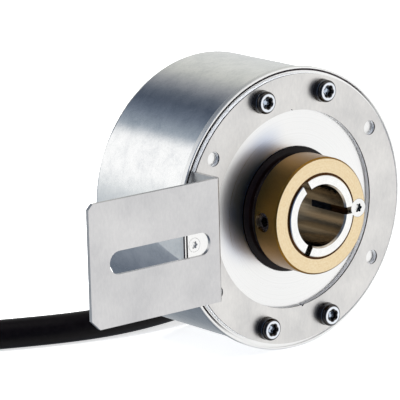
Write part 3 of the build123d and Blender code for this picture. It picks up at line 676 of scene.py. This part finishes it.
def buildBoot():
    y, z = (at * mm for at in boot["centre"])
    bpy.ops.mesh.primitive_cylinder_add(
        vertices=boot["sides"], radius=boot["rootRadius"] * mm, depth=boot["collar"] * mm,
        location=((boot["rootX"] - boot["collar"] / 2) * mm, y, z), rotation=(0, math.pi / 2, 0))
    sleeve = bpy.context.object
    bpy.ops.object.transform_apply()
    edit(sleeve)
    pick(sleeve, "FACE", lambda face: face.normal.x < -straight)
    pitch = (boot["length"] - boot["collar"]) / boot["ribs"]
    reach = boot["rootX"] - boot["collar"]
    size = boot["rootRadius"]
    for rib in range(boot["ribs"]):
        taper = (boot["tipRadius"] - boot["rootRadius"]) * (rib + 1) / boot["ribs"]
        wide = boot["rootRadius"] + taper
        low, cut = wide - boot["groove"], boot["grooveShare"]
        for radius, run in ((low, 0.0), (low, pitch * cut), (wide, 0.0), (wide, pitch * (1 - cut))):
            reach -= run
            bpy.ops.mesh.extrude_region_move(TRANSFORM_OT_translate={"value": (-run * mm, 0, 0)})
            bpy.ops.transform.resize(value=(1, radius / size, radius / size),
                                     center_override=(reach * mm, y, z))
            size = radius
    pick(sleeve, "EDGE", turnsSharply)
    bpy.ops.mesh.bevel(offset=boot["chamfer"] * mm, segments=2, affect="EDGES")
    closeUp()
    leaveEdit(boot["crisp"])
    return sleeve


nylon = mouldedNylon()
bootPiece = buildBoot()
bootPiece.name = "ribbed_boot"
bootPiece.data.materials.append(nylon)
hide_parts("boot")
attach(bootPiece, "housing")
print("boot made")


# Dust ring: a rubber lip turned out from the shaft's hub, which covers the opening in the flange

# outline: radius and depth of each point
dustRing = {"steps": 96, "crisp": 28,
            "outline": [(13.03, -3.4), (16.4, -3.4), (16.9, -2.4), (17.3, -1.5), (18.35, -1.25),
                        (18.6, -1.0), (19.45, -0.65), (19.62, -0.4), (19.5, -0.1), (17.0, 0.9),
                        (13.03, 1.6)]}


def nitrileRubber():
    # moulded nitrile rubber: black and faintly brown, satin with a slight bloom
    return plainFinish("black nitrile rubber", size=2.5, detail=4.0, depth=0.02, edge=0.1,
                       stops=[(0.3, "#080304"), (0.7, "#100708")], Roughness=0.3, IOR=1.4,
                       Specular_IOR_Level=0.22)


def buildDustRing():
    # one point is drawn out along the outline, which is filled and spun round the shaft
    outline = dustRing["outline"]
    bpy.ops.mesh.primitive_plane_add(size=mm, location=(outline[0][0] * mm, outline[0][1] * mm, 0))
    ring = bpy.context.object
    bpy.ops.object.transform_apply()
    edit(ring, "VERT")
    bpy.ops.mesh.select_all(action="SELECT")
    bpy.ops.mesh.merge(type="CENTER")
    for (r, y), (nextR, nextY) in zip(outline, outline[1:]):
        bpy.ops.mesh.extrude_vertices_move(
            TRANSFORM_OT_translate={"value": ((nextR - r) * mm, (nextY - y) * mm, 0)})
    bpy.ops.mesh.select_all(action="SELECT")
    bpy.ops.mesh.edge_face_add()
    bpy.ops.mesh.spin(steps=dustRing["steps"], angle=2 * math.pi, center=(0, 0, 0), axis=(0, 1, 0))
    bpy.ops.mesh.select_all(action="SELECT")
    bpy.ops.mesh.remove_doubles(threshold=close)
    pick(ring, "FACE", lambda face: len(face.verts) == len(outline))
    bpy.ops.mesh.delete(type="ONLY_FACE")
    closeUp(close)
    leaveEdit(dustRing["crisp"])
    ring.name = "dust_ring"
    return ring


rubber = nitrileRubber()
dustPiece = buildDustRing()
dustPiece.data.materials.append(rubber)
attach(dustPiece, "rotor")
print("dust ring made")


# Finishes of the metal parts. A shade that has its place and colour in the settings is fixed to
# the surface and stands for what the metal mirrors in the photograph; lengths are in millimetres

coverFinish = {"speckShare": 0.55, "inward": (-38, -41), "low": (12, 6), "duller": 0.24}


def drawnZincCover():
    # deep drawn steel, bright zinc plated: sharp bands of light, broken by fine mottling and soft
    # clouds, and duller behind the arm
    material, tree, shader, place = newMaterial("bright zinc plated drawn steel", Metallic=1.0)
    speck = addNode(tree, "TexNoise", {"Scale": per(0.8), "Detail": 3.0, "Roughness": 0.7},
                    {"Vector": place})
    cloud = addNode(tree, "TexNoise", {"Scale": per(5.0), "Detail": 4.0, "Roughness": 0.65},
                    {"Vector": place})
    both = addNode(tree, "Math", {"operation": "MULTIPLY_ADD", 1: coverFinish["speckShare"]},
                   {0: speck, 2: cloud})
    tone = addNode(tree, "ValToRGB", {"stops": [(0.5, "#e6e8ea"), (0.8, "#f8f9f9"),
                                                (1.0, "#ffffff")]}, {"Fac": both})
    gloss = addNode(tree, "MapRange", {"From Min": 0.3, "From Max": 0.7, "To Min": 0.11,
                                       "To Max": 0.17}, {"Value": cloud})
    axes = addNode(tree, "SeparateXYZ", links={0: place})
    behindArm = softPatch(tree, ((axes, "X"), coverFinish["inward"]),
                          ((axes, "Z"), coverFinish["low"]))
    dulled = addNode(tree, "Math", {"operation": "MULTIPLY_ADD", 1: coverFinish["duller"]},
                     {0: behindArm, 2: gloss})
    coat(tree, shader, tone, both, depth=0.012, edge=0.12, gloss=dulled)
    return material


# plate: where the leg ends and the plate is reached; the plate's bluer tint is a painted reflection
armFinish = {"slant": 35, "stretch": (1, 1, 0.45), "grainShare": 0.5, "plate": (-36, -40),
             "plateReflectionColour": "#f2f3f6", "wallLean": 0.08, "ringFrom": -1.3,
             "edgeHighlightColour": "#e9ebee", "lineDepth": -1.0, "lineHalf": 0.3,
             "lineShadeColour": "#151112"}


def zincSheet():
    # rolled sheet, blue zinc plated: satin, with a faint slanting grain; the plate is a little
    # bluer, a painted reflection, and the ring's cut edges are pale and matt, a painted highlight,
    # with a dark line in front, painted shade
    material, tree, shader, place = newMaterial("zinc plated rolled sheet", Metallic=1.0)
    slant = addNode(tree, "Mapping", {"Rotation": (0, math.radians(armFinish["slant"]), 0),
                                      "Scale": armFinish["stretch"]}, {"Vector": place})
    grain = addNode(tree, "TexNoise", {"Scale": per(0.9), "Detail": 4.0, "Roughness": 0.7},
                    {"Vector": slant})
    cloud = addNode(tree, "TexNoise", {"Scale": per(16.0), "Detail": 3.0}, {"Vector": place})
    both = addNode(tree, "Math", {"operation": "MULTIPLY_ADD", 1: armFinish["grainShare"]},
                   {0: grain, 2: cloud})
    tone = addNode(tree, "ValToRGB", {"stops": [(0.5, "#cdcccb"), (1.0, "#e8e6e3")]}, {"Fac": both})
    axes = addNode(tree, "SeparateXYZ", links={0: place})
    leg, plate = armFinish["plate"]
    onPlate = addNode(tree, "MapRange", {"From Min": leg * mm, "From Max": plate * mm},
                      {"Value": (axes, "X")})
    # painted reflection: the plate a little bluer
    plateReflected = addNode(tree, "Mix", {**tinted, 7: armFinish["plateReflectionColour"]}, {0: onPlate, 6: tone})
    wall = sideWalls(tree, armFinish["wallLean"])
    onRing = addNode(tree, "Math", {"operation": "GREATER_THAN", 1: armFinish["ringFrom"] * mm},
                     {0: (axes, "Y")})
    cutEdge = addNode(tree, "Math", product, {0: wall, 1: onRing})
    # painted highlight: the ring's cut edges pale and matt
    pale = addNode(tree, "Mix", {**mixed, 7: armFinish["edgeHighlightColour"]}, {0: cutEdge, 6: (plateReflected, 2)})
    matt = addNode(tree, "Math", {"operation": "SUBTRACT", 0: 1.0}, {1: cutEdge})
    # painted shade: a dark line along the front of the cut edges
    inFront = addNode(tree, "Math", {"operation": "COMPARE", 1: armFinish["lineDepth"] * mm,
                                     2: armFinish["lineHalf"] * mm}, {0: (axes, "Y")})
    line = addNode(tree, "Math", product, {0: wall, 1: inFront})
    shadeLined = addNode(tree, "Mix", {**mixed, 7: armFinish["lineShadeColour"]}, {0: line, 6: (pale, 2)})
    join(tree, matt, shader.inputs["Metallic"])
    gloss = addNode(tree, "MapRange", {"From Min": 0.4, "From Max": 1.1, "To Min": 0.28,
                                       "To Max": 0.36}, {"Value": both})
    coat(tree, shader, (shadeLined, 2), grain, depth=0.008, edge=0.05, gloss=gloss)
    return material


# The painted reflection lies beside the collar, up and to the left; the groove is darkened with
# painted shade at its upper left
flangeFinish = {"reflectionOut": (31, 20), "reflectionLeft": (-1, -14), "reflectionUp": (-17, -2),
                "reflectionColour": "#8fabdc", "grooveDepth": 0.3, "depthHalf": 0.26,
                "grooveRadius": 42.25, "radiusHalf": 1.5, "upperLeft": (-14, 8),
                "grooveShadeColour": "#3b3437"}


def turnedAluminium():
    # fine turned aluminium: concentric tool marks that spread each reflection out from the shaft;
    # a painted blue-grey reflection lies beside the collar and painted shade in the groove
    material, tree, shader, place = newMaterial("fine turned aluminium", Metallic=1.0,
                                                Anisotropic=0.55)
    radius = fromAxis(tree, place)
    scaled = addNode(tree, "Math", {**product, 1: per(0.45)}, {0: radius})
    marks = addNode(tree, "TexNoise", {"noise_dimensions": "1D", "Scale": 1.0, "Detail": 3.0},
                    {"W": scaled})
    tone = addNode(tree, "ValToRGB", {"stops": [(0.3, "#f1f1f0"), (0.7, "#f8f8f7")]},
                   {"Fac": marks})
    axes = addNode(tree, "SeparateXYZ", links={0: place})
    # painted reflection: a blue-grey patch beside the collar
    hazeAndReflection = softPatch(tree, (radius, flangeFinish["reflectionOut"]),
                     ((axes, "X"), flangeFinish["reflectionLeft"]), ((axes, "Z"), flangeFinish["reflectionUp"]))
    withReflection = addNode(tree, "Mix", {**tinted, 7: flangeFinish["reflectionColour"]}, {0: hazeAndReflection, 6: tone})
    # painted shade: the groove near the rim darkened at its upper left
    sunk = addNode(tree, "Math", {"operation": "COMPARE", 1: flangeFinish["grooveDepth"] * mm,
                                  2: flangeFinish["depthHalf"] * mm}, {0: (axes, "Y")})
    byEdge = addNode(tree, "Math", {"operation": "COMPARE", 1: flangeFinish["grooveRadius"] * mm,
                                    2: flangeFinish["radiusHalf"] * mm}, {0: radius})
    lean = addNode(tree, "Math", {"operation": "SUBTRACT"}, {0: (axes, "Z"), 1: (axes, "X")})
    upperLeft = softPatch(tree, (lean, flangeFinish["upperLeft"]))
    ring = addNode(tree, "Math", product, {0: sunk, 1: byEdge})
    groove = addNode(tree, "Math", product, {0: ring, 1: upperLeft})
    shadeLined = addNode(tree, "Mix", {**mixed, 7: flangeFinish["grooveShadeColour"]},
                    {0: groove, 6: (withReflection, 2)})
    join(tree, lathed(tree, place), shader.inputs["Tangent"])
    coat(tree, shader, (shadeLined, 2), marks, depth=0.002, edge=0.08, gloss=(marks, 0.24, 0.36))
    return material


# the hub's colour is painted shade on the hub's side walls
shaftFinish = {"streak": (1, 0.03, 1), "wallLean": 0.8, "boreRadius": 10.4, "hubRadius": 12.7,
               "hubShadeColour": "#5a3c22"}


def groundSteel():
    # ground stainless shaft: bright outside, with faint streaks along the shaft; painted shade
    # makes its honed bore browner and the side walls of the hub that the collar grips dark brown
    material, tree, shader, place = newMaterial("ground stainless shaft", Metallic=1.0)
    drawn = addNode(tree, "VectorMath", {**product, 1: shaftFinish["streak"]}, {0: place})
    radius = fromAxis(tree, place)
    streaks = addNode(tree, "TexNoise", {"Scale": per(1.6), "Detail": 2.0}, {"Vector": drawn})
    wall = sideWalls(tree, shaftFinish["wallLean"])
    # painted shade: the bore's walls browner
    near = addNode(tree, "Math", {"operation": "LESS_THAN", 1: shaftFinish["boreRadius"] * mm},
                   {0: radius})
    inside = addNode(tree, "Math", product, {0: wall, 1: near})
    bore = addNode(tree, "ValToRGB", {"stops": [(0.3, "#b3a796"), (0.7, "#dad1c3")]},
                   {"Fac": streaks})
    outside = addNode(tree, "ValToRGB", {"stops": [(0.3, "#f0f0ee"), (0.7, "#f7f7f5")]},
                      {"Fac": streaks})
    tone = addNode(tree, "Mix", mixed, {0: inside, 6: outside, 7: bore})
    # painted shade: the hub's side walls dark brown
    outer = addNode(tree, "Math", {"operation": "GREATER_THAN", 1: shaftFinish["hubRadius"] * mm},
                    {0: radius})
    hub = addNode(tree, "Math", product, {0: wall, 1: outer})
    shaded = addNode(tree, "Mix", {**mixed, 7: shaftFinish["hubShadeColour"]}, {0: hub, 6: (tone, 2)})
    coat(tree, shader, (shaded, 2), streaks, depth=0.0015, edge=0.02, gloss=(streaks, 0.1, 0.2))
    return material


collarFinish = {"ringShare": 0.6, "wallLean": 0.8, "sideShadeColour": "#a18246", "boreRadius": 13.5,
                "boreShadeColour": "#4a2f16"}


def goldAnodised():
    # turned aluminium, gold anodised: warm and satin, with faint turning rings and a fine tooth;
    # painted shade makes its side browner and its bore dark brown
    material, tree, shader, place = newMaterial("gold anodised turned aluminium", Metallic=1.0)
    radius = fromAxis(tree, place)
    rings = addNode(tree, "TexNoise", {"noise_dimensions": "1D", "Scale": per(0.35),
                                       "Detail": 2.0}, {"W": radius})
    tooth = addNode(tree, "TexNoise", {"Scale": per(0.5), "Detail": 3.0}, {"Vector": place})
    both = addNode(tree, "Math", {"operation": "MULTIPLY_ADD", 1: collarFinish["ringShare"]},
                   {0: rings, 2: tooth})
    tone = addNode(tree, "ValToRGB", {"stops": [(0.55, "#e5cda2"), (1.0, "#f1dfbc")]},
                   {"Fac": both})
    # painted shade: the collar's side browner
    sideShaded = addNode(tree, "Mix", {**tinted, 7: collarFinish["sideShadeColour"]},
                      {0: sideWalls(tree, collarFinish["wallLean"]), 6: tone})
    # painted shade: the collar's bore dark brown
    inner = addNode(tree, "Math", {"operation": "LESS_THAN", 1: collarFinish["boreRadius"] * mm},
                    {0: radius})
    shaded = addNode(tree, "Mix", {**mixed, 7: collarFinish["boreShadeColour"]},
                     {0: inner, 6: (sideShaded, 2)})
    coat(tree, shader, (shaded, 2), both, depth=0.006, edge=0.15, gloss=(tooth, 0.26, 0.38))
    return material


recessShade = {"depth": 0.4, "reach": 1.7, "wallLean": 0.7, "colour": "#20242c"}


def nickelPlate(screwNode):
    # nickel plated steel: nearly white, smooth, with a faint haze; painted shade darkens the walls
    # of one screw's recess
    low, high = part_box(screwNode)
    centre = ((low[0] + high[0]) / 2, low[1] + recessShade["depth"] * mm, (low[2] + high[2]) / 2)
    material, tree, shader, place = newMaterial("nickel plated steel", Metallic=1.0)
    hazeAndReflection = addNode(tree, "TexNoise", {"Scale": per(1.4), "Detail": 3.0}, {"Vector": place})
    tone = addNode(tree, "ValToRGB", {"stops": [(0.3, "#ebebea"), (0.7, "#f7f7f6")]}, {"Fac": hazeAndReflection})
    away = addNode(tree, "VectorMath", {"operation": "DISTANCE", 1: centre}, {0: place})
    near = addNode(tree, "Math", {"operation": "LESS_THAN", 1: recessShade["reach"] * mm},
                   {0: (away, "Value")})
    wall = sideWalls(tree, recessShade["wallLean"])
    # painted shade: the walls of the recess darkened
    recess = addNode(tree, "Math", product, {0: near, 1: wall})
    sunk = addNode(tree, "Mix", {**mixed, 7: recessShade["colour"]}, {0: recess, 6: tone})
    coat(tree, shader, (sunk, 2), hazeAndReflection, depth=0.004, edge=0.04, gloss=(hazeAndReflection, 0.22, 0.34))
    return material


raceFinish = {"boreRadius": 12.7, "boreShadeColour": "#17110f"}


def bearingSteel():
    # hardened and polished ring steel: dark clear mirror with hair-fine circumferential marks, and
    # darker in the bore, painted shade
    material, tree, shader, place = newMaterial("polished bearing steel", Metallic=1.0,
                                                Anisotropic=0.3)
    radius = fromAxis(tree, place)
    marks = addNode(tree, "TexNoise", {"noise_dimensions": "1D", "Scale": per(0.25),
                                       "Detail": 3.0}, {"W": radius})
    tone = addNode(tree, "ValToRGB", {"stops": [(0.3, "#b9bcc0"), (0.7, "#cdd0d3")]},
                   {"Fac": marks})
    # painted shade: the bore darkened
    bore = addNode(tree, "Math", {"operation": "LESS_THAN", 1: raceFinish["boreRadius"] * mm},
                   {0: radius})
    shaded = addNode(tree, "Mix", {**mixed, 7: raceFinish["boreShadeColour"]}, {0: bore, 6: tone})
    coat(tree, shader, (shaded, 2), marks, depth=0.001, edge=0.08, gloss=(marks, 0.1, 0.2))
    return material


def phosphatedSteel():
    # phosphated socket screw: near black and dry, with pale rubbed specks
    return plainFinish("phosphated socket screw steel", size=0.4, detail=4.0, depth=0.01,
                       edge=0.12, gloss=(0.25, 0.5), Metallic=1.0,
                       stops=[(0.35, "#2b211e"), (0.6, "#6f655e"), (0.72, "#d8d2cb")])


def solderMask():
    # glass epoxy board under green mask: copper tracks show as thin lighter lines
    material, tree, shader, place = newMaterial("masked glass epoxy board", Roughness=0.32,
                                                IOR=1.55)
    flat = addNode(tree, "Mapping", {"Rotation": (math.pi / 2, 0, 0)}, {"Vector": place})
    tracks = addNode(tree, "TexBrick", {"Scale": per(5.0), "Mortar Size": 0.06,
                                        "Brick Width": 1.4, "Row Height": 0.35,
                                        "Color1": "#14492f", "Color2": "#185538",
                                        "Mortar": "#3c8a5d"}, {"Vector": flat})
    coat(tree, shader, tracks, (tracks, "Fac"), depth=0.02, edge=0.1)
    return material


codeTrack = {"lines": 180.0, "radius": 27.0, "half": 2.2}


def codeGlass():
    # soda glass disc with a chrome track of fine radial lines near its rim, coarse enough to see
    material, tree, shader, place = newMaterial("soda glass with chrome track", IOR=1.52)
    axes = addNode(tree, "SeparateXYZ", links={0: place})
    turn = addNode(tree, "Math", {"operation": "ARCTAN2"}, {0: (axes, "Z"), 1: (axes, "X")})
    wound = addNode(tree, "Math", {**product, 1: codeTrack["lines"]}, {0: turn})
    wave = addNode(tree, "Math", {"operation": "SINE"}, {0: wound})
    lines = addNode(tree, "Math", {"operation": "GREATER_THAN", 1: 0.0}, {0: wave})
    track = addNode(tree, "Math", {"operation": "COMPARE", 1: codeTrack["radius"] * mm,
                                   2: codeTrack["half"] * mm}, {0: fromAxis(tree, place)})
    chrome = addNode(tree, "Math", product, {0: lines, 1: track})
    clear = addNode(tree, "Math", {"operation": "SUBTRACT", 0: 1.0}, {1: chrome})
    gloss = addNode(tree, "MapRange", {"To Min": 0.03, "To Max": 0.15}, {"Value": chrome})
    shader.inputs["Base Color"].default_value = linear("#e4ecea")
    join(tree, chrome, shader.inputs["Metallic"])
    join(tree, clear, shader.inputs["Transmission Weight"])
    join(tree, gloss, shader.inputs["Roughness"])
    return material


def numbered(name, last):
    return [f"{name}_{number}" for number in range(1, last + 1)]


paint(drawnZincCover(), "cover")
paint(zincSheet(), "torque_arm")
paint(turnedAluminium(), "flange", "plug_screw")
paint(groundSteel(), "shaft", "shaft_sleeve", "disc_hub", "clamp_ring")
paint(goldAnodised(), "collar")
paint(phosphatedSteel(), *numbered("set_screw", 3))
paint(bearingSteel(), "bearing_front_outer", "bearing_front_inner", "bearing_front_cage",
      "bearing_rear_outer", "bearing_rear_inner", "bearing_rear_cage", "race_sleeve",
      "retaining_ring")
paint(nickelPlate("locating_screw"), "locating_screw", *numbered("cover_screw", 3),
      *numbered("cover_post", 3), *numbered("board_post", 3), *numbered("outlet_screw", 2))
paint(rubber, "seal_lip", "seal_case")
paint(nylon, "outlet", "terminal_block", "lamp_block", "reading_head")
paint(solderMask(), "circuit_board")
paint(codeGlass(), "code_disc")
print("finishes set")
